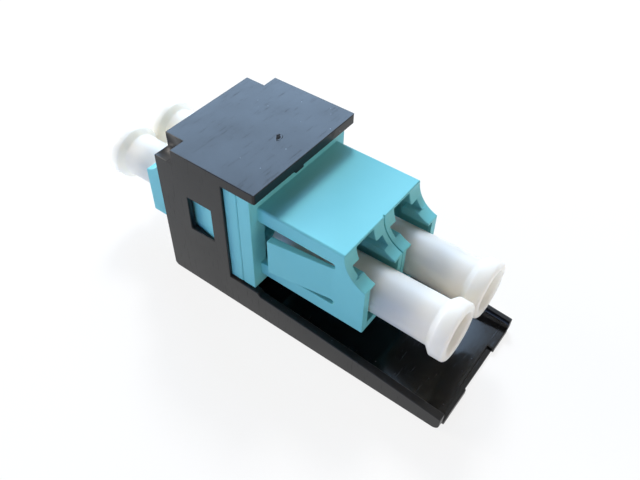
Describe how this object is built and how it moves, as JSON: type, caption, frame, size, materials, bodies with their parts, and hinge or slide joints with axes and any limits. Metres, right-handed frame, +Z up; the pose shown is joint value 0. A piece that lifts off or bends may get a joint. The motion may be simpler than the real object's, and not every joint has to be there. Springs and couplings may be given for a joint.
{
  "type": "duplex fibre adapter",
  "caption": "Duplex LC fibre adapter clipped into a black carrier with an open tray, dust caps plugged into its front and rear ports.",
  "frame": {"origin": "on the carrier's underside, below the middle of the adapter's weld seam", "axes": "+Z up out of the tray, +Y towards the rear ports, +X to the right seen from the front ports"},
  "size_m": [0.0158, 0.0458, 0.0178],
  "materials": {
    "carrier": "gloss, moulded",
    "adapter": "semi-gloss, moulded",
    "sleeve": "polished ceramic",
    "cap": "milky, soft plastic"
  },
  "bodies": {
    "adapter": {"carrier": "carrier", "adapter_front_half": "adapter", "adapter_rear_half": "adapter", "left_split_sleeve": "sleeve", "right_split_sleeve": "sleeve"},
    "front_left_cap": {"front_left_dust_cap": "cap"},
    "front_right_cap": {"front_right_dust_cap": "cap"},
    "rear_left_cap": {"rear_left_dust_cap": "cap"},
    "rear_right_cap": {"rear_right_dust_cap": "cap"}
  },
  "joints": [
    {"name": "front_left_pull", "type": "slide", "parent": "adapter", "child": "front_left_cap", "axis": [0, -1, 0], "range_m": [0, 0.016]},
    {"name": "front_right_pull", "type": "slide", "parent": "adapter", "child": "front_right_cap", "axis": [0, -1, 0], "range_m": [0, 0.016]},
    {"name": "rear_left_pull", "type": "slide", "parent": "adapter", "child": "rear_left_cap", "axis": [0, 1, 0], "range_m": [0, 0.016]},
    {"name": "rear_right_pull", "type": "slide", "parent": "adapter", "child": "rear_right_cap", "axis": [0, 1, 0], "range_m": [0, 0.016]}
  ]
}
